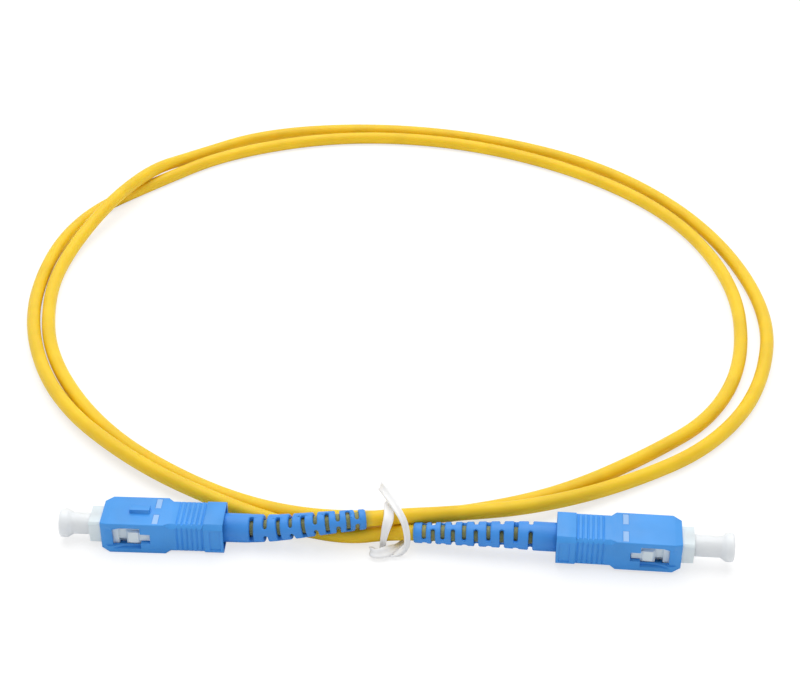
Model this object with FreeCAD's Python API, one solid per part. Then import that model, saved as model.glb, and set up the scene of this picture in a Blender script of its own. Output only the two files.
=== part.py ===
"""Simplex fibre optic patch cable: two push-pull plugs on one cord laid in two loose turns.

Millimetres, +Z up. The cord lies on the plane z = 0 and the origin is on that plane,
midway between the two plugs.
Each plug is built in its own frame: x runs along the plug towards its ferrule tip, x = 0 is
the rear face of the outer housing, y runs across the wide faces and z points out of the keyed
face. The plug is then placed on the table.
"""
import FreeCAD
import Part
import math
import os

V = FreeCAD.Vector

# Outer housing
housing_length = 25.0
housing_width = 9.0
housing_height = 7.4
housing_edge = 0.15
pad_length = 3.85
pad_edge = 0.9
grip_length = 10.9
grip_inset = 0.18
grip_edge = 0.8
shoulder_length = 1.0
nose_length = 1.7
nose_side_taper = 0.85
nose_top_taper = 0.5
groove_count = 6
groove_first = 3.92
groove_pitch = 1.02
groove_width = 0.58
groove_depth = 0.3
groove_overcut = 0.05
panel_start = 0.5
panel_length = 2.2
panel_height = 4.8
panel_depth = 0.2
key_start = 15.2
key_length = 4.1
key_width = 1.6
key_height = 0.85
key_root = 0.3
mark_start = 13.13
mark_width = 1.2
mark_inner = 1.0
mark_outer = 4.0
mark_depth = 0.12
mouth_depth = 3.8
mouth_side_clearance = 0.6

# Side windows, measured back from the nose of the housing
window_front = 2.4
window_length = 5.8
window_height = 4.3
slot_length = 2.0
slot_height = 2.3
ramp_height = 5.3
ramp_depth = 0.9
ramp_run = 2.3
lead_depth = 0.45

# Plug frame
frame_length = 19.3
frame_width = 6.4
frame_height = 5.3
frame_edge = 0.45
frame_nose_width = 6.0
frame_nose_height = 5.2
frame_nose_length = 2.9
frame_protrusion = 2.5
frame_bore_depth = 5.0
frame_bore_wall = 0.3
seat_thickness = 2.0
boss_length = 2.6
boss_height = 2.6
boss_recess = 0.45
boss_ramp = 0.6
boss_gap = 0.4
rail_height = 2.0
rail_recess = 0.75
pocket_length = 1.6
pocket_depth = 1.2
pocket_inner = 1.25
neck_recess = 0.4

# Ferrule and its flange
ferrule_diameter = 2.5
ferrule_length = 10.5
ferrule_protrusion = 2.5
ferrule_tip_chamfer = 0.4
ferrule_travel = 1.2
flange_collar_length = 2.0
flange_neck_diameter = 3.1
flange_neck_length = 1.75
flange_tail_diameter = 2.3
flange_tail_length = 4.6
flange_slot_width = 0.7
flange_slot_depth = 0.5

# Spring, spring stop, crimp sleeve and fibre
spring_wire = 0.42
spring_turns = 5
spring_length = 6.7
stop_collar_length = 1.4
stop_collar_diameter = 5.1
stop_stem_diameter = 3.2
stop_bore = 2.4
stop_stem_length = 5.3
barb_inset = 1.3
barb_length = 1.4
barb_width = 1.8
sleeve_length = 9.5
sleeve_wall = 0.4
fibre_diameter = 0.9
fibre_bare_length = 0.3

# Boot
boot_root_diameter = 5.9
boot_tip_diameter = 4.1
boot_root_length = 4.2
boot_length = 28.9
boot_inside = 1.4
boot_step_length = 1.0
boot_bend_start = 9.0
boot_second_bend = 20.0
boot_tip_round = 0.3
boot_slot_levels = 10
left_slot_first = 5.57
right_slot_first = 5.2
boot_slot_pitch = 2.95
boot_slot_pitch_step = -0.14
boot_slot_width = 0.85
boot_slot_flare = 0.18
boot_slot_angle = 128.0
left_slot_turn = 71.0
right_slot_turn = 79.0

# Dust cap
cap_length = 11.2
cap_flare_length = 1.2
cap_rim_length = 1.5
cap_rim_diameter = 5.9
cap_rim_round = 0.45
cap_floor = 1.4
left_cap_pull = 0.0
right_cap_pull = 1.65

# Cable and tie
cable_diameter = 3.2
tie_width = 1.1
tie_thickness = 0.7

# Clearances
slide_clearance = 0.10
fit_clearance = 0.05
loose_clearance = 0.15

# Where the plugs lie: centre of the housing's rear face, heading and roll
left_rear = (-34.23, -0.08)
left_yaw = 2.7
right_rear = (33.0, -4.2)
right_yaw = 5.2
right_roll = 3.2

# The cord's two ends, in each plug's own frame: how far the boot is bent towards the keyed face and
# the camera side (rise, shift), and the point it leads to past the boot (length, rise, shift).
# The rest of the route is in the list below.
left_boot_bend = (2.4, 0.6)
left_lead = (14.3, 2.6, -2.0)
right_boot_bend = (0.6, 0.0)
right_lead = (14.0, 1.45, -0.15)

cable_route = [
    (11.5, 3.0, 4.7), (30.0, 7.0, 3.4), (50.0, 17.0, 1.6), (70.0, 30.0, 1.6), (84.5, 52.0, 1.6),
    (91.6, 84.0, 1.6), (82.9, 123.5, 1.6), (61.8, 154.5, 1.6), (33.0, 172.8, 1.6),
    (-1.5, 181.8, 1.6), (-36.4, 178.7, 1.6), (-57.7, 163.7, 1.6), (-66.6, 150.1, 5.2),
    (-75.8, 131.5, 5.2), (-83.7, 112.0, 1.8), (-85.65, 92.0, 1.6), (-81.05, 64.5, 1.6),
    (-65.0, 36.0, 1.6), (-43.0, 16.6, 1.6), (-22.0, 6.2, 1.6), (0.0, 2.6, 3.6), (17.0, 6.9, 2.0),
    (36.0, 13.8, 1.6), (55.5, 26.8, 1.6), (72.0, 41.0, 1.6), (82.3, 64.5, 1.6), (85.0, 97.3, 1.6),
    (74.4, 130.9, 1.6), (50.6, 156.6, 1.6), (19.0, 173.2, 1.6), (-15.0, 177.0, 1.6),
    (-46.9, 166.6, 1.6), (-66.5, 148.2, 1.6), (-81.6, 132.6, 1.6), (-88.55, 110.0, 1.6),
    (-88.45, 79.0, 1.6), (-77.0, 46.5, 2.4), (-56.0, 22.5, 3.0), (-34.0, 7.7, 2.8),
    (-20.0, 2.3, 1.6), (-9.0, -0.9, 1.85),
]

tie_route = [
    (-3.4, 10.0, 6.6), (-2.0, 5.4, 9.2), (-0.6, 1.2, 9.9), (1.6, -1.9, 8.3), (2.9, -3.6, 5.6),
    (2.8, -4.6, 2.8), (1.4, -5.8, 0.9), (-1.6, -6.4, 0.6), (-4.4, -5.2, 0.6), (-2.0, -3.4, 0.6),
    (2.3, -0.5, 0.6), (2.4, 4.2, 0.6), (1.8, 6.6, 2.2), (1.0, 6.2, 5.2), (0.2, 3.6, 8.3),
    (-0.8, 0.3, 8.8), (-1.8, -2.9, 7.0), (-2.2, -3.9, 4.0), (-2.3, -3.6, 1.4),
]

# Sizes that follow from the ones above
nose_x = housing_length
frame_front = nose_x + frame_protrusion
frame_rear = frame_front - frame_length
cavity_width = frame_width + 2 * slide_clearance
cavity_height = frame_height + 2 * slide_clearance
mouth_width = boot_root_diameter + 2 * mouth_side_clearance
mouth_height = boot_root_diameter + 2 * loose_clearance
grip_width = housing_width - 2 * grip_inset
grip_height = housing_height - 2 * grip_inset
window_rear_x = nose_x - window_front - window_length
window_front_x = nose_x - window_front
boss_rear_x = window_rear_x + boss_gap
frame_bore = frame_nose_height - 2 * frame_bore_wall
chamber_diameter = frame_bore - 0.1
seat_front = frame_front - frame_bore_depth
seat_rear = seat_front - seat_thickness
ferrule_tip = frame_front + ferrule_protrusion
ferrule_rear = ferrule_tip - ferrule_length
collar_front = seat_rear - fit_clearance
collar_rear = collar_front - flange_collar_length
collar_diameter = chamber_diameter - 2 * loose_clearance
spring_rear = collar_rear - spring_length
stop_front = spring_rear - fit_clearance
stop_barrel_diameter = chamber_diameter - 2 * fit_clearance
stop_collar_front = frame_rear
stop_collar_rear = frame_rear - stop_collar_length
stop_stem_end = stop_collar_rear - stop_stem_length
barb_start = frame_rear + barb_inset
cable_start = stop_stem_end - fibre_bare_length
fibre_bore = fibre_diameter + 2 * fit_clearance
sleeve_bore = cable_diameter + 2 * fit_clearance
sleeve_diameter = sleeve_bore + 2 * sleeve_wall
sleeve_front = stop_collar_rear - fit_clearance
sleeve_rear = sleeve_front - sleeve_length
boot_sleeve_bore = sleeve_diameter + 2 * fit_clearance
boot_cable_bore = cable_diameter + 2 * loose_clearance
cap_stem_diameter = frame_bore - 2 * slide_clearance
cap_bore = ferrule_diameter + 2 * fit_clearance
cap_open = seat_front + loose_clearance


def prism_section(x, width, height, edge):
    """Closed eight-sided outline across the plug: a rectangle with its corners cut."""
    w = width / 2
    h = height / 2
    corners = [(w, h - edge), (w - edge, h), (edge - w, h), (-w, h - edge),
               (-w, edge - h), (edge - w, -h), (w - edge, -h), (w, edge - h)]
    points = [V(x, y, z) for y, z in corners]
    return Part.makePolygon(points + [points[0]])


def prism(x0, x1, width, height, edge):
    return Part.Face(prism_section(x0, width, height, edge)).extrude(V(x1 - x0, 0, 0))


def block(x0, x1, y0, y1, z0, z1):
    return Part.makeBox(x1 - x0, y1 - y0, z1 - z0, V(x0, y0, z0))


def rod(x0, x1, diameter):
    return Part.makeCylinder(diameter / 2, x1 - x0, V(x0, 0, 0), V(1, 0, 0))


def polygon_face(points):
    return Part.Face(Part.makePolygon(points + [points[0]]))


def both_sides(shape):
    """The shape and its mirror image on the other narrow side of the plug."""
    return [shape, shape.mirror(V(0, 0, 0), V(0, 1, 0))]


def both_faces(shape):
    """The shape and its mirror image on the other wide face of the plug."""
    return [shape, shape.mirror(V(0, 0, 0), V(0, 0, 1))]


def outer_housing():
    """Sliding outer housing: rear pad, ribbed grip, keyed front, latch windows on both sides."""
    top = housing_height / 2
    side = housing_width / 2
    pad = prism(0, pad_length, housing_width, housing_height, pad_edge)
    grip = prism(pad_length, grip_length, grip_width, grip_height, grip_edge)
    front = Part.makeLoft([
        prism_section(grip_length, grip_width, grip_height, grip_edge),
        prism_section(grip_length + shoulder_length, housing_width, housing_height, housing_edge),
        prism_section(nose_x - nose_length, housing_width, housing_height, housing_edge),
        prism_section(nose_x, housing_width - 2 * nose_side_taper,
                      housing_height - 2 * nose_top_taper, housing_edge),
    ], True, True)
    key = block(key_start, key_start + key_length, -key_width / 2, key_width / 2,
                top - key_root, top + key_height)
    body = pad.fuse([grip, front, key])

    cuts = [block(-1, nose_x + 1, -cavity_width / 2, cavity_width / 2,
                  -cavity_height / 2, cavity_height / 2),
            block(-1, mouth_depth, -mouth_width / 2, mouth_width / 2,
                  -mouth_height / 2, mouth_height / 2)]
    cuts += grip_grooves()
    panel = block(panel_start, panel_start + panel_length, side - panel_depth, side + 1,
                  -panel_height / 2, panel_height / 2)
    cuts += both_sides(panel)
    cuts += latch_window(side)
    mark = block(mark_start, mark_start + mark_width, mark_inner, mark_outer,
                 top - mark_depth, top + 1)
    for upper in both_sides(mark):
        cuts += both_faces(upper)
    return body.cut(cuts).removeSplitter()


def grip_grooves():
    """V grooves between the grip's ribs, on all four faces, running out on the cut corners."""
    top = grip_height / 2
    side = grip_width / 2
    half_mouth = groove_width / 2 * (1 + groove_overcut / groove_depth)
    grooves = []
    for i in range(groove_count):
        middle = groove_first + groove_width / 2 + i * groove_pitch
        outline = [(middle, -groove_depth), (middle + half_mouth, groove_overcut),
                   (middle - half_mouth, groove_overcut)]
        upper = [V(x, -side, top + rise) for x, rise in outline]
        near = [V(x, side + rise, -top) for x, rise in outline]
        grooves += both_faces(polygon_face(upper).extrude(V(0, grip_width, 0)))
        grooves += both_sides(polygon_face(near).extrude(V(0, 0, grip_height)))
    return grooves


def latch_window(side):
    """Cuts for the two side windows: lead-in, ramped channel, window and the narrow rail slot."""
    ramp_points = [V(window_rear_x, side - ramp_depth, -ramp_height / 2),
                   V(window_rear_x, side + 1, -ramp_height / 2),
                   V(window_front_x, side + 1, -ramp_height / 2),
                   V(window_front_x, side, -ramp_height / 2),
                   V(window_front_x - ramp_run, side - ramp_depth, -ramp_height / 2)]
    ramp = polygon_face(ramp_points).extrude(V(0, 0, ramp_height))
    window = block(window_rear_x, window_front_x, 0, side + 1, -window_height / 2, window_height / 2)
    slot = block(window_rear_x - slot_length, window_rear_x + 1, 0, side + 1,
                 -slot_height / 2, slot_height / 2)
    lead = block(window_front_x - 1, nose_x + 1, side - lead_depth, side + 1,
                 -window_height / 2, window_height / 2)
    return both_sides(ramp.fuse([window, slot, lead]))


def plug_frame():
    """Inner frame that carries the ferrule, with the latch bosses that show in the windows."""
    body = prism(frame_rear, frame_front - frame_nose_length, frame_width, frame_height, frame_edge)
    nose = prism(frame_front - frame_nose_length, frame_front, frame_nose_width,
                 frame_nose_height, frame_edge)
    side = frame_width / 2
    boss_top = housing_width / 2 - boss_recess
    boss_front_x = boss_rear_x + boss_length
    boss_points = [V(boss_rear_x, side - 0.5, -boss_height / 2),
                   V(boss_rear_x, boss_top, -boss_height / 2),
                   V(boss_front_x - boss_ramp, boss_top, -boss_height / 2),
                   V(boss_front_x, side, -boss_height / 2),
                   V(boss_front_x, side - 0.5, -boss_height / 2)]
    boss = polygon_face(boss_points).extrude(V(0, 0, boss_height))
    rail = block(window_rear_x - slot_length + loose_clearance, boss_rear_x + 0.1, side - 0.5,
                 housing_width / 2 - rail_recess, -rail_height / 2, rail_height / 2)
    body = body.fuse([nose] + both_sides(boss) + both_sides(rail))

    cuts = [rod(seat_front, frame_front + 1, frame_bore),
            rod(seat_rear - 1, seat_front + 1, flange_neck_diameter + 2 * slide_clearance),
            rod(frame_rear - 1, seat_rear, chamber_diameter)]
    for z0 in (pocket_inner, -pocket_inner - frame_height):
        pocket = block(boss_front_x, boss_front_x + pocket_length, side - pocket_depth, side + 1,
                       z0, z0 + frame_height)
        cuts += both_sides(pocket)
    neck = block(boss_front_x, boss_front_x + pocket_length, side - neck_recess, side + 1,
                 -frame_height, frame_height)
    cuts += both_sides(neck)
    cuts.append(block(barb_start - fit_clearance, barb_start + barb_length + fit_clearance,
                      -barb_width / 2 - fit_clearance, barb_width / 2 + fit_clearance,
                      -frame_height, frame_height))
    return body.cut(Part.makeCompound(cuts)).removeSplitter()


def ferrule():
    body = rod(ferrule_rear, ferrule_tip - ferrule_tip_chamfer, ferrule_diameter)
    tip = Part.makeCone(ferrule_diameter / 2, ferrule_diameter / 2 - ferrule_tip_chamfer / 2,
                        ferrule_tip_chamfer, V(ferrule_tip - ferrule_tip_chamfer, 0, 0), V(1, 0, 0))
    return body.fuse(tip)


def ferrule_flange():
    """Metal flange pressed on the ferrule: collar with tuning slots, front neck, rear tail."""
    neck = rod(collar_rear, collar_front + flange_neck_length, flange_neck_diameter)
    collar = rod(collar_rear, collar_front, collar_diameter)
    tail = rod(collar_rear - flange_tail_length, collar_rear + 0.5, flange_tail_diameter)
    body = collar.fuse([neck, tail])
    cuts = [rod(ferrule_rear, frame_front, ferrule_diameter),
            rod(stop_front - 1, ferrule_rear + 0.5, fibre_bore)]
    inner = collar_diameter / 2 - flange_slot_depth
    for angle in (0, 90, 180, 270):
        slot = block(collar_rear - 1, collar_front + 1, inner, inner + 2,
                     -flange_slot_width / 2, flange_slot_width / 2)
        slot.rotate(V(0, 0, 0), V(1, 0, 0), angle)
        cuts.append(slot.cut(rod(collar_rear - 2, collar_front + 2, flange_neck_diameter)))
    return body.cut(Part.makeCompound(cuts)).removeSplitter()


def spring():
    """Compression spring between the stop and the flange collar, six-sided wire."""
    gap = spring_wire / 2 + fit_clearance
    start = spring_rear + gap
    height = spring_length - 2 * gap
    radius = (collar_diameter - spring_wire) / 2 - slide_clearance
    helix = Part.makeHelix(height / spring_turns, height, radius)
    helix.rotate(V(0, 0, 0), V(0, 1, 0), 90)
    helix.translate(V(start, 0, 0))
    first = helix.Edges[0]
    origin = first.valueAt(first.FirstParameter)
    tangent = first.tangentAt(first.FirstParameter)
    outward = V(0, origin.y, origin.z).normalize()
    other = tangent.cross(outward).normalize()
    points = []
    for i in range(6):
        angle = math.radians(60 * i)
        points.append(origin + (outward * math.cos(angle) + other * math.sin(angle)) * (spring_wire / 2))
    profile = Part.makePolygon(points + [points[0]])
    return Part.Wire(helix.Edges).makePipeShell([profile], True, True)


def spring_stop():
    """Turned stop behind the spring, snapped into the frame by two barbs, with a crimp stem."""
    barrel = rod(stop_collar_rear, stop_front, stop_barrel_diameter)
    collar = rod(stop_collar_rear, stop_collar_front, stop_collar_diameter)
    stem = rod(stop_stem_end, stop_front, stop_stem_diameter)
    barb_top = frame_height / 2 - slide_clearance
    barbs = block(barb_start, barb_start + barb_length, -barb_width / 2, barb_width / 2,
                  -barb_top, barb_top)
    body = barrel.fuse([collar, stem, barbs])
    return body.cut(rod(stop_stem_end - 1, stop_front + 1, stop_bore)).removeSplitter()


def crimp_sleeve():
    return rod(sleeve_rear, sleeve_front, sleeve_diameter).cut(
        rod(sleeve_rear - 1, sleeve_front + 1, sleeve_bore))


def buffered_fibre():
    """Coated fibre from the end of the cord to just short of the ferrule."""
    return rod(cable_start, ferrule_rear - ferrule_travel - slide_clearance, fibre_diameter)


def dust_cap(pull):
    """Moulded cap over the ferrule: plain stem, flared finger rim, blind bore."""
    x_open = cap_open + pull
    x_end = x_open + cap_length
    r_stem = cap_stem_diameter / 2
    r_rim = cap_rim_diameter / 2
    x_rim = x_end - cap_rim_length
    x_flare = x_rim - cap_flare_length
    r_bore = cap_bore / 2
    x_floor = x_end - cap_floor
    turn = cap_rim_round * (1 - math.sqrt(0.5))
    edges = [
        Part.makeLine(V(x_open, r_bore, 0), V(x_open, r_stem, 0)),
        Part.makeLine(V(x_open, r_stem, 0), V(x_flare, r_stem, 0)),
        Part.makeLine(V(x_flare, r_stem, 0), V(x_rim, r_rim, 0)),
        Part.makeLine(V(x_rim, r_rim, 0), V(x_end - cap_rim_round, r_rim, 0)),
        Part.Arc(V(x_end - cap_rim_round, r_rim, 0), V(x_end - turn, r_rim - turn, 0),
                 V(x_end, r_rim - cap_rim_round, 0)).toShape(),
        Part.makeLine(V(x_end, r_rim - cap_rim_round, 0), V(x_end, 0, 0)),
        Part.makeLine(V(x_end, 0, 0), V(x_floor, 0, 0)),
        Part.makeLine(V(x_floor, 0, 0), V(x_floor, r_bore, 0)),
        Part.makeLine(V(x_floor, r_bore, 0), V(x_open, r_bore, 0)),
    ]
    return Part.Face(Part.Wire(edges)).revolve(V(0, 0, 0), V(1, 0, 0), 360)


def rounded_path(points):
    """Edges of a path through the points: straight runs joined by tangent arcs, and the arc radii."""
    edges = []
    radii = []
    last = points[0]
    for before, corner, after in zip(points, points[1:], points[2:]):
        incoming = (before - corner).normalize()
        outgoing = (after - corner).normalize()
        shorter = min(before.distanceToPoint(corner), after.distanceToPoint(corner))
        setback = 0.45 * shorter
        half_turn = (math.pi - incoming.getAngle(outgoing)) / 2
        radius = setback / math.tan(half_turn)
        arc_start = corner + incoming * setback
        arc_end = corner + outgoing * setback
        middle = (incoming + outgoing).normalize()
        arc_middle = corner + middle * (radius / math.cos(half_turn) - radius)
        edges.append(Part.LineSegment(last, arc_start).toShape())
        edges.append(Part.Arc(arc_start, arc_middle, arc_end).toShape())
        radii.append(radius)
        last = arc_end
    edges.append(Part.LineSegment(last, points[-1]).toShape())
    return edges, radii


def along(edges, distance):
    """Point and direction at a distance along a path."""
    for edge in edges:
        if distance <= edge.Length or edge is edges[-1]:
            parameter = edge.getParameterByLength(min(distance, edge.Length))
            point = edge.valueAt(parameter)
            direction = edge.tangentAt(parameter)
            ahead = edge.valueAt(edge.LastParameter) - edge.valueAt(edge.FirstParameter)
            return point, direction if direction.dot(ahead) > 0 else -direction
        distance -= edge.Length


def cord_end(bend, lead):
    """First points of the cord in the plug's frame: straight out of the crimp, through the boot."""
    rise, shift = bend
    lead_length, lead_rise, lead_shift = lead
    return [V(cable_start, 0, 0), V(-boot_bend_start, 0, 0),
            V(-boot_second_bend, shift, rise),
            V(-boot_second_bend - lead_length, lead_shift, lead_rise)]


def boot(spine_points, slot_first, slot_turn):
    """Slotted strain relief boot, lofted along the cord's own line."""
    front = V(boot_inside, 0, 0)
    edges, _ = rounded_path(spine_points)
    edges.insert(0, Part.LineSegment(front, spine_points[0]).toShape())
    levels = slot_levels(slot_first)
    stations = [-boot_inside, boot_root_length] + levels + [boot_length - boot_tip_round]
    outer = [ring_at(edges, s + boot_inside, boot_diameter(s)) for s in stations]
    outer.append(ring_at(edges, boot_length + boot_inside, boot_tip_diameter - boot_tip_round))
    body = Part.makeLoft(outer, True, True)
    sleeve_end = -sleeve_rear + fit_clearance
    step_end = sleeve_end + boot_step_length
    bore_stations = [(-boot_inside - 0.01, boot_sleeve_bore), (sleeve_end, boot_sleeve_bore),
                     (step_end, boot_cable_bore)]
    bore_stations += [(s, boot_cable_bore) for s in levels if s > step_end + 0.5]
    bore_stations.append((boot_length + 0.01, boot_cable_bore))
    inner = [ring_at(edges, s + boot_inside, d) for s, d in bore_stations]
    body = body.cut(Part.makeLoft(inner, True, True))
    cuts = []
    for i, level in enumerate(levels):
        place_here = across(*along(edges, level + boot_inside))
        for opposite in (0, 180):
            angle = slot_turn + 90 * (i % 2) + opposite
            cuts.append(place(slot_cutter(angle, boot_diameter(level) / 2), place_here))
    return body.cut(cuts)


def boot_diameter(station):
    taper = (boot_root_diameter - boot_tip_diameter) / (boot_length - boot_root_length)
    return boot_root_diameter - taper * max(0, station - boot_root_length)


def slot_levels(first):
    levels = []
    level = first
    for i in range(boot_slot_levels):
        levels.append(level)
        level += boot_slot_pitch + i * boot_slot_pitch_step
    return levels


def across(point, direction):
    """Placement whose plane stands across the cord at a point."""
    return FreeCAD.Placement(point, FreeCAD.Rotation(V(0, 0, 1), direction))


def ring_at(edges, distance, diameter):
    circle = Part.Wire(Part.makeCircle(diameter / 2))
    circle.Placement = across(*along(edges, max(distance, 0)))
    return circle


def slot_cutter(angle, radius):
    """Cut for one boot slot about the z axis: a sector with round ends and flared outer edges."""
    reach = boot_root_diameter
    half = boot_slot_width / 2
    inner = radius - boot_slot_flare
    outer = radius + boot_slot_flare
    wide = half + 2 * boot_slot_flare
    sector = Part.makeCylinder(reach, boot_slot_width, V(0, 0, -half), V(0, 0, 1), boot_slot_angle)
    flare_points = [V(inner, 0, half), V(outer, 0, wide), V(outer, 0, -wide), V(inner, 0, -half)]
    flare_face = polygon_face(flare_points)
    pieces = [flare_face.revolve(V(0, 0, 0), V(0, 0, 1), boot_slot_angle)]
    for end in (0, boot_slot_angle):
        outward = V(math.cos(math.radians(end)), math.sin(math.radians(end)), 0)
        pieces.append(Part.makeCylinder(half, reach, V(0, 0, 0), outward))
        pieces.append(Part.makeCone(half, wide, outer - inner, outward * inner, outward))
    cutter = sector.fuse(pieces).removeSplitter()
    cutter.rotate(V(0, 0, 0), V(0, 0, 1), angle - boot_slot_angle / 2)
    return cutter


def left_placement():
    rear = V(left_rear[0], left_rear[1], housing_height / 2)
    return FreeCAD.Placement(rear, FreeCAD.Rotation(V(0, 0, 1), 180 - left_yaw))


def right_placement():
    """The right plug lies on its key, rolled a little."""
    roll = math.radians(right_roll)
    lift = (housing_height / 2 + key_height) * math.cos(roll) + key_width / 2 * math.sin(roll)
    heading = FreeCAD.Rotation(V(0, 0, 1), -right_yaw)
    rolled = FreeCAD.Rotation(V(1, 0, 0), 180 + right_roll)
    return FreeCAD.Placement(V(right_rear[0], right_rear[1], lift), heading.multiply(rolled))


def cable(points):
    """The cord: one round tube along the whole route."""
    edges, radii = rounded_path(points)
    path = Part.Wire(edges)
    section = Part.Wire(Part.makeCircle(cable_diameter / 2, points[0], points[1] - points[0]))
    tube = path.makePipeShell([section], True, False)
    expected = math.pi * cable_diameter ** 2 / 4 * path.Length
    print("cable length %.1f, volume ratio %.4f" % (path.Length, tube.Volume / expected))
    print("cable radii", [round(r) for r in radii])
    return tube


def twist_tie():
    """Coated wire tie wound once and a half round the three strands."""
    points = [V(*p) for p in tie_route]
    edges, radii = rounded_path(points)
    direction = (points[1] - points[0]).normalize()
    flat = V(1, 0, 0) - direction * direction.x
    ellipse = Part.Ellipse(points[0] + flat.normalize() * (tie_width / 2),
                           points[0] + direction.cross(flat).normalize() * (tie_thickness / 2),
                           points[0])
    tube = Part.Wire(edges).makePipeShell([Part.Wire(ellipse.toShape())], True, False)
    print("tie radii", [round(r, 1) for r in radii])
    return tube


def place(shape, placement):
    placed = shape.copy()
    placed.Placement = placement.multiply(placed.Placement)
    return placed


def plug_parts(pull, spine, slot_first, slot_turn):
    return {
        "outer_housing": outer_housing(),
        "plug_frame": plug_frame(),
        "ferrule": ferrule(),
        "ferrule_flange": ferrule_flange(),
        "spring": spring(),
        "spring_stop": spring_stop(),
        "crimp_sleeve": crimp_sleeve(),
        "buffered_fibre": buffered_fibre(),
        "boot": boot(spine, slot_first, slot_turn),
        "dust_cap": dust_cap(pull),
    }


def main():
    os.makedirs("parts", exist_ok=True)
    left = left_placement()
    right = right_placement()
    left_spine = cord_end(left_boot_bend, left_lead)
    right_spine = cord_end(right_boot_bend, right_lead)
    nodes = {}
    left_parts = plug_parts(left_cap_pull, left_spine, left_slot_first, left_slot_turn)
    right_parts = plug_parts(right_cap_pull, right_spine, right_slot_first, right_slot_turn)
    for name in left_parts:
        nodes["left_" + name] = place(left_parts[name], left)
        nodes["right_" + name] = place(right_parts[name], right)
    points = [left.multVec(p) for p in left_spine]
    points += [V(*p) for p in cable_route]
    points += [right.multVec(p) for p in reversed(right_spine)]
    nodes["cable"] = cable(points)
    nodes["twist_tie"] = twist_tie()
    for name, shape in nodes.items():
        solid = shape.Solids[0]
        solid.exportStep("parts/%s.step" % name)
        print(name, len(shape.Solids), solid.isValid(), round(solid.Volume, 2))


main()
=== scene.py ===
"""Dresses the patch cable: soft cord, twist tie, springs, inlays, materials, light and the camera.

Metres, in the CAD frame: +Z up, the table is z = 0, +X runs from the left plug to the right one.
The values below are in millimetres and degrees, as in the CAD source, unless they say otherwise.
"""
import bmesh
import bpy
import math
from mathutils import Matrix, Vector


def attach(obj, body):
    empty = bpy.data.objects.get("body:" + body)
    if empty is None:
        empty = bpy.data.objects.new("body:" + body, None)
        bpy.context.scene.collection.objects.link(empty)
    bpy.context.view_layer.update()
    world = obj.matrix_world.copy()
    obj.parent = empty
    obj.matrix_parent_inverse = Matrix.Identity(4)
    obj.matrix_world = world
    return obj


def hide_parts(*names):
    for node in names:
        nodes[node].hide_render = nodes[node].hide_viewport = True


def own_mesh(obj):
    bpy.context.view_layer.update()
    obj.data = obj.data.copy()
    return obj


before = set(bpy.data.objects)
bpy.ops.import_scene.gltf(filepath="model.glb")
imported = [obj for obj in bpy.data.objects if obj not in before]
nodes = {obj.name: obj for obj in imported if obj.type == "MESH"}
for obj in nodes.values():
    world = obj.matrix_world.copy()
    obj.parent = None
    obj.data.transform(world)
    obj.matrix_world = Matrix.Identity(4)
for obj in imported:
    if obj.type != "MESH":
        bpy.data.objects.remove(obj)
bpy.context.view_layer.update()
MM = 0.001
ROOT = "cord_and_frames"

# Plugs: where each lies on the table
housing_height = 7.4
key_height = 0.85
key_width = 1.6
left_rear = (-34.23, -0.08)
left_yaw = 2.7
right_rear = (33.0, -4.2)
right_yaw = 5.2
right_roll = 3.2

# Pale inlays in the marks on the wide faces
mark_start = 13.13
mark_width = 1.2
mark_inner = 1.0
mark_outer = 4.0
mark_depth = 0.12
mark_gap = 0.03
mark_sink = 0.02
mark_edge_round = 0.03

# Moulded edge rounds on the CAD pieces
edge_rounds = {"outer_housing": 0.05, "plug_frame": 0.08, "boot": 0.06, "dust_cap": 0.06}
inner_edge_round = 0.03
edge_round_angle = 35.0
edge_round_segments = 2
weld_distance = 0.001

# Cord: its share of length in each boot and the painted shade put on it there, its length in metres
cable_diameter = 3.2
cable_steps = 16
cable_ring_steps = 8
boot_share = 0.0428
boot_share_fade = 0.0012
# Painted shade: a dark olive base colour for the cord inside the boots, standing in for the shade the boots
# cast on it
jacket_painted_shade = (0.26, 0.27, 0.10, 1.0)

# Cord ends in each plug's frame, and the route on the table
cable_start = 1.2
boot_bend_start = 9.0
boot_second_bend = 20.0
left_boot_bend = (2.4, 0.6)
left_lead = (14.3, 2.6, -2.0)
right_boot_bend = (0.6, 0.0)
right_lead = (14.0, 1.45, -0.15)
cable_route = [
    (11.5, 3.0, 4.7), (30.0, 7.0, 3.4), (50.0, 17.0, 1.6), (70.0, 30.0, 1.6), (84.5, 52.0, 1.6),
    (91.6, 84.0, 1.6), (82.9, 123.5, 1.6), (61.8, 154.5, 1.6), (33.0, 172.8, 1.6),
    (-1.5, 181.8, 1.6), (-36.4, 178.7, 1.6), (-57.7, 163.7, 1.6), (-66.6, 150.1, 5.2),
    (-75.8, 131.5, 5.2), (-83.7, 112.0, 1.8), (-85.65, 92.0, 1.6), (-81.05, 64.5, 1.6),
    (-65.0, 36.0, 1.6), (-43.0, 16.6, 1.6), (-22.0, 6.2, 1.6), (0.0, 2.6, 3.6), (17.0, 6.9, 2.0),
    (36.0, 13.8, 1.6), (55.5, 26.8, 1.6), (72.0, 41.0, 1.6), (82.3, 64.5, 1.6), (85.0, 97.3, 1.6),
    (74.4, 130.9, 1.6), (50.6, 156.6, 1.6), (19.0, 173.2, 1.6), (-15.0, 177.0, 1.6),
    (-46.9, 166.6, 1.6), (-66.5, 148.2, 1.6), (-81.6, 132.6, 1.6), (-88.55, 110.0, 1.6),
    (-88.45, 79.0, 1.6), (-77.0, 46.5, 2.4), (-56.0, 22.5, 3.0), (-34.0, 7.7, 2.8),
    (-20.0, 2.3, 1.6), (-9.0, -0.9, 1.85),
]

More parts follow.
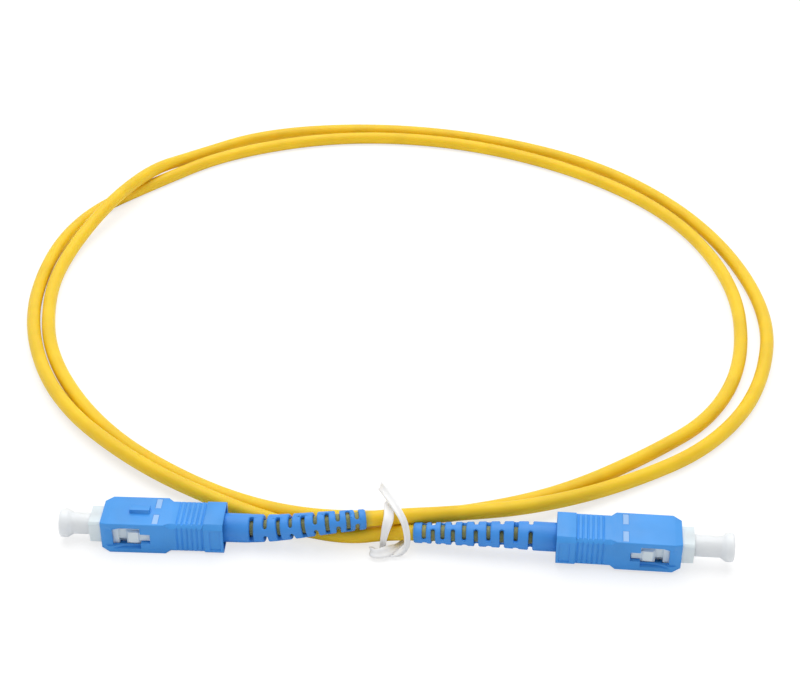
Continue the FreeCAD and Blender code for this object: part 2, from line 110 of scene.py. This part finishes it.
# Twist tie: centre line, the way its flat side faces there, and half its width
tie_route = [
    ((-2.6, 9.6, 6.8), (-0.6, -0.5, 0.6), 0.9), ((-1.8, 6.0, 8.6), (-0.5, -0.4, 0.8), 0.9),
    ((-0.7, 2.2, 9.7), (-0.3, -0.3, 0.9), 0.85), ((0.7, -1.2, 9.7), (0.0, -0.6, 0.8), 0.78),
    ((2.2, -3.4, 8.2), (0.3, -0.9, 0.4), 0.72), ((2.8, -4.0, 5.6), (0.5, -0.9, 0.0), 0.72),
    ((2.9, -4.5, 3.2), (0.6, -0.8, -0.1), 0.72), ((2.3, -4.9, 1.3), (0.6, -0.8, -0.3), 0.8),
    ((0.6, -5.5, 0.65), (0.3, -0.7, -0.6), 0.8), ((-1.8, -4.5, 0.35), (0.0, -0.1, -1.0), 0.6),
    ((-3.6, -3.7, 0.5), (-0.2, 0.2, -1.0), 0.7), ((-4.8, -4.1, 1.2), (-0.9, 0.3, -0.2), 0.8),
    ((-4.1, -5.5, 1.4), (-0.4, -0.5, 0.8), 0.9), ((-2.85, -5.66, 1.5), (-0.1, -0.7, 0.7), 1.05),
    ((-1.6, -5.3, 1.6), (-0.1, -0.7, 0.7), 1.15), ((-0.2, -4.1, 1.4), (-0.2, -0.7, 0.7), 0.95),
    ((1.0, -2.6, 0.95), (-0.3, -0.5, 0.8), 0.62), ((2.3, -0.6, 0.7), (-0.3, -0.2, 0.9), 0.6),
    ((2.4, 4.2, 0.6), (0.0, 0.2, -1.0), 0.6), ((1.0, 6.6, 2.2), (0.0, 0.8, -0.6), 0.7),
    ((-0.4, 6.0, 5.2), (0.0, 0.9, 0.4), 0.75), ((-1.0, 3.6, 7.5), (0.0, 0.6, 0.8), 0.8),
    ((-0.9, 0.6, 8.3), (0.0, 0.0, 1.0), 0.95), ((-0.8, -2.0, 7.8), (-0.1, -0.7, 0.7), 1.1),
    ((-1.4, -3.3, 6.4), (-0.3, -1.0, 0.2), 0.95), ((-1.8, -3.5, 4.4), (-0.4, -0.9, 0.0), 0.75),
    ((-2.1, -3.2, 2.0), (-0.3, -0.9, 0.0), 0.66), ((-2.2, -3.0, 0.3), (-0.3, -0.9, 0.0), 0.64),
]
tie_profile = [(1.0, 0.0), (0.94, 0.16), (0.72, 0.24), (0.4, 0.18), (0.0, 0.07)]
tie_steps = 10
tie_crease_angle = 60.0

# Plastics: patches of colour and gloss and the fine grain (per metre), and the grain's depth in metres
patch_scale = 120.0
gloss_scale = 400.0
gloss_spread = 0.05
grain_scale = 4000.0
grain_detail = 3.0
grain_strength = 0.25
grain_depth = 0.00001

# Camera, fitted to the two plugs
camera_place = (1.4, -282.3, 239.0)
camera_pitch = 34.0
camera_lens = 80.55
camera_sensor = 36.0
camera_near = 10.0

# Light, in metres and watts: a large soft lamp above and a little behind, a dim white room, a white table
lamp_place = (0.0, 0.3, 0.85)
lamp_target = (0.0, 0.05, 0.0)
lamp_size = 1.1
lamp_power = 6.0
room_as_light = 0.52
room_as_seen = 1.0
floor_half_side = 3.0
floor_as_light = 0.95
floor_as_seen = 0.38
floor_glow = 0.69


def plug_matrix(rear, yaw, keyed_up, roll):
    """Plug frame to the table, in metres: x towards the ferrule tip, z out of the keyed face."""
    if keyed_up:
        heading = Matrix.Rotation(math.radians(180 - yaw), 4, "Z")
        height = housing_height / 2
    else:
        tilt = math.radians(roll)
        heading = Matrix.Rotation(math.radians(-yaw), 4, "Z") @ Matrix.Rotation(math.pi + tilt, 4, "X")
        height = (housing_height / 2 + key_height) * math.cos(tilt) + key_width / 2 * math.sin(tilt)
    return Matrix.Translation(Vector((rear[0], rear[1], height)) * MM) @ heading


plugs = {"left": plug_matrix(left_rear, left_yaw, True, 0.0),
         "right": plug_matrix(right_rear, right_yaw, False, right_roll)}


def add_object(name, data):
    obj = bpy.data.objects.new(name, data)
    bpy.context.scene.collection.objects.link(obj)
    return obj


class Graph:
    """A material's node tree with short helpers."""

    def __init__(self, name):
        self.material = bpy.data.materials.new(name)
        self.material.use_nodes = True
        self.tree = self.material.node_tree
        self.shader = self.tree.nodes["Principled BSDF"]
        self.where = self.add("ShaderNodeTexCoord").outputs["Object"]

    def add(self, kind, **settings):
        node = self.tree.nodes.new(kind)
        for key, value in settings.items():
            setattr(node, key, value)
        return node

    def link(self, source, target):
        self.tree.links.new(source, target)

    def set(self, **values):
        for key, value in values.items():
            self.shader.inputs[key.replace("_", " ")].default_value = value

    def noise(self, scale, detail=2.0):
        node = self.add("ShaderNodeTexNoise")
        node.inputs["Scale"].default_value = scale
        node.inputs["Detail"].default_value = detail
        self.link(self.where, node.inputs["Vector"])
        return node.outputs["Fac"]

    def ramp(self, source, low, high, first, last):
        node = self.add("ShaderNodeValToRGB")
        node.color_ramp.elements[0].position = low
        node.color_ramp.elements[0].color = first
        node.color_ramp.elements[1].position = high
        node.color_ramp.elements[1].color = last
        self.link(source, node.inputs["Fac"])
        return node.outputs["Color"]

    def bump(self, source, strength, distance):
        node = self.add("ShaderNodeBump")
        node.inputs["Strength"].default_value = strength
        node.inputs["Distance"].default_value = distance
        self.link(source, node.inputs["Height"])
        self.link(node.outputs["Normal"], self.shader.inputs["Normal"])


def shade(color, factor):
    return tuple(c * factor for c in color) + (1.0,)


def grey(level):
    return (level, level, level, 1.0)


def moulded(name, color, roughness, mottle=0.05):
    """Moulded plastic: faint colour mottling, uneven gloss and a fine surface grain."""
    g = Graph(name)
    tint = g.ramp(g.noise(patch_scale), 0.35, 0.65, shade(color, 1 - mottle), shade(color, 1 + mottle))
    g.link(tint, g.shader.inputs["Base Color"])
    smoother = grey(roughness - gloss_spread)
    rougher = grey(roughness + gloss_spread)
    gloss = g.ramp(g.noise(gloss_scale), 0.3, 0.7, smoother, rougher)
    g.link(gloss, g.shader.inputs["Roughness"])
    g.bump(g.noise(grain_scale, grain_detail), grain_strength, grain_depth)
    return g


def milky(name, color, roughness, mottle, weight, depth):
    """Moulded plastic that lets some light in, as deep as given, in metres."""
    g = moulded(name, color, roughness, mottle)
    g.set(Subsurface_Weight=weight, Subsurface_Scale=depth, Subsurface_Radius=(1.0, 1.0, 1.0))
    return g


def metal(name, color, roughness):
    g = moulded(name, color, roughness)
    g.set(Metallic=1.0)
    return g


def jacket():
    """Yellow cord jacket, with painted shade: its base colour turns dark olive along the lengths inside the
    boots, where the boots keep it out of the light.
    """
    g = moulded("yellow_jacket", (0.89, 0.60, 0.016), 0.45)
    g.set(Specular_IOR_Level=0.35, Subsurface_Weight=0.6, Subsurface_Scale=0.0015,
          Subsurface_Radius=(1.0, 0.7, 0.2))
    # Painted shade: a mask along the cord's length, 1 inside the boots, mixes the base colour towards dark
    # olive there
    along = g.add("ShaderNodeSeparateXYZ")
    g.link(g.add("ShaderNodeTexCoord").outputs["UV"], along.inputs["Vector"])
    painted_shade_mask = g.add("ShaderNodeValToRGB")
    stops = painted_shade_mask.color_ramp.elements
    stops[0].position = boot_share
    stops[0].color = grey(1.0)
    stops[1].position = 1 - boot_share
    stops[1].color = grey(1.0)
    for place in (boot_share + boot_share_fade, 1 - boot_share - boot_share_fade):
        stops.new(place).color = grey(0.0)
    g.link(along.outputs["X"], painted_shade_mask.inputs["Fac"])
    blend = g.add("ShaderNodeMix", data_type="RGBA")
    base = g.shader.inputs["Base Color"]
    g.link(painted_shade_mask.outputs["Color"], blend.inputs["Factor"])
    g.link(base.links[0].from_socket, blend.inputs["A"])
    blend.inputs["B"].default_value = jacket_painted_shade
    g.link(blend.outputs["Result"], base)
    return g


def paint(piece, graph):
    piece.data.materials.clear()
    piece.data.materials.append(graph.material)


def soften(node, width):
    """Joins a CAD node's faces into one skin, shaded smooth, with small moulded edge rounds."""
    node.data.shade_smooth()
    weld = node.modifiers.new("one_skin", "WELD")
    weld.merge_threshold = weld_distance * MM
    bevel = node.modifiers.new("edge_round", "BEVEL")
    bevel.width = width * MM
    bevel.segments = edge_round_segments
    bevel.limit_method = "ANGLE"
    bevel.angle_limit = math.radians(edge_round_angle)
    bevel.use_clamp_overlap = False
    bevel.harden_normals = True


def coil(side):
    """Copy of the plug's spring as a piece of its own, carried with the cord and frames; the CAD spring is
    hidden.
    """
    node = nodes[side + "_spring"]
    piece = add_object(side + "_coil", node.data.copy())
    piece.matrix_world = node.matrix_world.copy()
    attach(piece, ROOT)
    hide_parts(side + "_spring")
    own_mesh(piece)


def smooth_curve(name, points, steps):
    """Smooth curve on a given route of points, in metres."""
    curve = bpy.data.curves.new(name, "CURVE")
    curve.dimensions = "3D"
    curve.resolution_u = steps
    spline = curve.splines.new("NURBS")
    spline.points.add(len(points) - 1)
    for control, point in zip(spline.points, points):
        control.co = (point[0], point[1], point[2], 1.0)
    spline.order_u = 3
    spline.use_endpoint_u = True
    return curve


def cord_end(bend, lead, matrix):
    """Cord points from inside a plug, through its boot, to where the cord is free."""
    rise, shift = bend
    length, lead_rise, lead_shift = lead
    points = [(cable_start, 0, 0), (-boot_bend_start, 0, 0), (-boot_second_bend, shift, rise),
              (-boot_second_bend - length, lead_shift, lead_rise)]
    return [matrix @ (Vector(p) * MM) for p in points]


def cord(graph):
    points = cord_end(left_boot_bend, left_lead, plugs["left"])
    points += [Vector(p) * MM for p in cable_route]
    points += reversed(cord_end(right_boot_bend, right_lead, plugs["right"]))
    curve = smooth_curve("cord", points, cable_steps)
    curve.bevel_depth = cable_diameter / 2 * MM
    curve.bevel_resolution = cable_ring_steps
    curve.use_fill_caps = True
    piece = add_object("cord", curve)
    paint(piece, graph)
    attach(piece, ROOT)
    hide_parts("cable")


def tie_line(name, points):
    """Points along a smooth curve on a list of steps in millimetres, in metres."""
    curve = smooth_curve(name, [[c * MM for c in point] for point in points], tie_steps)
    line = bpy.data.objects.new(name, curve)
    mesh = bpy.data.meshes.new_from_object(line)
    sampled = [vertex.co.copy() for vertex in mesh.vertices]
    bpy.data.objects.remove(line)
    bpy.data.meshes.remove(mesh)
    return sampled


def twist_tie(graph):
    """Flat plastic tie with two raised edges, swept along its route."""
    centres = tie_line("tie_centre", [point for point, _, _ in tie_route])
    faced = tie_line("tie_face", [[p + f for p, f in zip(point, face)] for point, face, _ in tie_route])
    widths = tie_line("tie_width", [(half_width, 0, 0) for _, _, half_width in tie_route])
    outline = list(tie_profile)
    outline += [(-u, v) for u, v in reversed(tie_profile[:-1])]
    outline += [(-u, -v) for u, v in tie_profile[1:]]
    outline += [(u, -v) for u, v in reversed(tie_profile[1:-1])]
    shape = bmesh.new()
    rings = []
    for i, centre in enumerate(centres):
        run = (centres[min(i + 1, len(centres) - 1)] - centres[max(i - 1, 0)]).normalized()
        face = faced[i] - centre
        face = (face - run * face.dot(run)).normalized()
        across = run.cross(face) * widths[i].x
        rings.append([shape.verts.new(centre + across * u + face * v * MM) for u, v in outline])
    count = len(outline)
    for first, second in zip(rings, rings[1:]):
        for j in range(count):
            after = (j + 1) % count
            shape.faces.new((first[j], first[after], second[after], second[j]))
    shape.faces.new(list(reversed(rings[0])))
    shape.faces.new(rings[-1])
    bmesh.ops.recalc_face_normals(shape, faces=shape.faces[:])
    mesh = bpy.data.meshes.new("twist_tie_strip")
    shape.to_mesh(mesh)
    shape.free()
    mesh.shade_smooth()
    mesh.set_sharp_from_angle(angle=math.radians(tie_crease_angle))
    piece = add_object("twist_tie_strip", mesh)
    paint(piece, graph)
    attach(piece, ROOT)
    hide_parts("twist_tie")


def inlay(side, y_side, z_side, graph):
    """Pale mark let into a wide face of a housing, just under flush."""
    name = "%s_inlay_%s%s" % (side, "n" if y_side < 0 else "p", "n" if z_side < 0 else "p")
    top = housing_height / 2 - mark_sink
    low = housing_height / 2 - mark_depth
    size = Vector((mark_width - 2 * mark_gap, mark_outer - mark_inner - 2 * mark_gap, top - low))
    centre = Vector((mark_start + mark_width / 2, y_side * (mark_inner + mark_outer) / 2,
                     z_side * (top + low) / 2))
    mesh = bpy.data.meshes.new(name)
    shape = bmesh.new()
    bmesh.ops.create_cube(shape, size=1.0)
    bmesh.ops.scale(shape, vec=size, verts=shape.verts)
    bmesh.ops.bevel(shape, geom=shape.edges[:], offset=mark_edge_round, segments=edge_round_segments,
                    profile=0.5, affect="EDGES")
    bmesh.ops.translate(shape, vec=centre, verts=shape.verts)
    bmesh.ops.scale(shape, vec=(MM, MM, MM), verts=shape.verts)
    bmesh.ops.transform(shape, matrix=plugs[side], verts=shape.verts)
    shape.to_mesh(mesh)
    shape.free()
    piece = add_object(name, mesh)
    paint(piece, graph)
    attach(piece, side + "_grip")


def seen_ray(tree, *others):
    """1 where the camera, or a ray of the other kinds named, meets the surface, 0 where light does."""
    ray = tree.nodes.new("ShaderNodeLightPath")
    seen = ray.outputs["Is Camera Ray"]
    for name in others:
        either = tree.nodes.new("ShaderNodeMath")
        either.operation = "MAXIMUM"
        tree.links.new(seen, either.inputs[0])
        tree.links.new(ray.outputs[name], either.inputs[1])
        seen = either.outputs[0]
    return seen


def floor():
    """White table: a pale reflector, with a glow of its own where it is seen, so that shadows stay pale."""
    side = floor_half_side
    mesh = bpy.data.meshes.new("floor")
    mesh.from_pydata([(-side, -side, 0), (side, -side, 0), (side, side, 0), (-side, side, 0)],
                     [], [(0, 1, 2, 3)])
    plane = add_object("floor", mesh)
    material = bpy.data.materials.new("floor")
    material.use_nodes = True
    tree = material.node_tree
    tree.nodes.clear()
    out = tree.nodes.new("ShaderNodeOutputMaterial")
    matte = tree.nodes.new("ShaderNodeBsdfDiffuse")
    pale = tree.nodes.new("ShaderNodeMapRange")
    pale.inputs["To Min"].default_value = floor_as_light
    pale.inputs["To Max"].default_value = floor_as_seen
    glow = tree.nodes.new("ShaderNodeEmission")
    level = tree.nodes.new("ShaderNodeMapRange")
    level.inputs["To Max"].default_value = floor_glow
    both = tree.nodes.new("ShaderNodeAddShader")
    seen = seen_ray(tree, "Is Transmission Ray")
    tree.links.new(seen, pale.inputs["Value"])
    tree.links.new(seen, level.inputs["Value"])
    tree.links.new(pale.outputs["Result"], matte.inputs["Color"])
    tree.links.new(level.outputs["Result"], glow.inputs["Strength"])
    tree.links.new(matte.outputs[0], both.inputs[0])
    tree.links.new(glow.outputs[0], both.inputs[1])
    tree.links.new(both.outputs[0], out.inputs["Surface"])
    mesh.materials.append(material)


def room():
    """White room: full white where it is seen, dimmer as light."""
    sky = bpy.data.worlds.new("studio")
    sky.use_nodes = True
    tree = sky.node_tree
    back = tree.nodes["Background"]
    back.inputs["Color"].default_value = grey(1.0)
    level = tree.nodes.new("ShaderNodeMapRange")
    level.inputs["To Min"].default_value = room_as_light
    level.inputs["To Max"].default_value = room_as_seen
    tree.links.new(seen_ray(tree, "Is Glossy Ray", "Is Transmission Ray"), level.inputs["Value"])
    tree.links.new(level.outputs["Result"], back.inputs["Strength"])
    bpy.context.scene.world = sky


def overhead_lamp():
    lamp = bpy.data.lights.new("overhead", "AREA")
    lamp.shape = "DISK"
    lamp.size = lamp_size
    lamp.energy = lamp_power
    obj = add_object("overhead", lamp)
    obj.location = lamp_place
    obj.rotation_euler = (Vector(lamp_target) - Vector(lamp_place)).to_track_quat("-Z", "Y").to_euler()


def camera():
    lens = bpy.data.cameras.new("camera")
    lens.sensor_width = camera_sensor
    lens.lens = camera_lens
    lens.clip_start = camera_near * MM
    obj = add_object("camera", lens)
    obj.location = Vector(camera_place) * MM
    obj.rotation_euler = (math.radians(90 - camera_pitch), 0, 0)
    bpy.context.scene.camera = obj


steel = metal("steel", (0.55, 0.55, 0.56), 0.3)
aluminium = metal("aluminium", (0.72, 0.72, 0.74), 0.38)
finish = {
    "outer_housing": moulded("blue_plastic", (0.052, 0.33, 0.84), 0.42),
    "plug_frame": milky("white_plastic", (0.78, 0.87, 0.91), 0.4, 0.02, 0.5, 0.001),
    "ferrule": moulded("ceramic", (0.85, 0.84, 0.80), 0.2),
    "ferrule_flange": steel,
    "spring": steel,
    "spring_stop": aluminium,
    "crimp_sleeve": aluminium,
    "buffered_fibre": moulded("fibre_coat", (0.85, 0.85, 0.80), 0.45),
    "boot": moulded("blue_boot", (0.042, 0.285, 0.80), 0.48),
    "dust_cap": milky("cap_plastic", (0.87, 0.90, 0.95), 0.35, 0.01, 0.8, 0.001),
}
tie_white = milky("tie_plastic", (0.97, 0.975, 0.985), 0.35, 0.01, 0.3, 0.0005)
inlay_pale = moulded("inlay_white", (0.31, 0.54, 0.90), 0.5)

for side in plugs:
    for piece, graph in finish.items():
        node = nodes[side + "_" + piece]
        paint(node, graph)
        soften(node, edge_rounds.get(piece, inner_edge_round))
    coil(side)
    for y_side in (-1, 1):
        for z_side in (-1, 1):
            inlay(side, y_side, z_side, inlay_pale)
cord(jacket())
twist_tie(tie_white)
floor()
room()
overhead_lamp()
camera()
bpy.context.scene.view_settings.view_transform = "Standard"
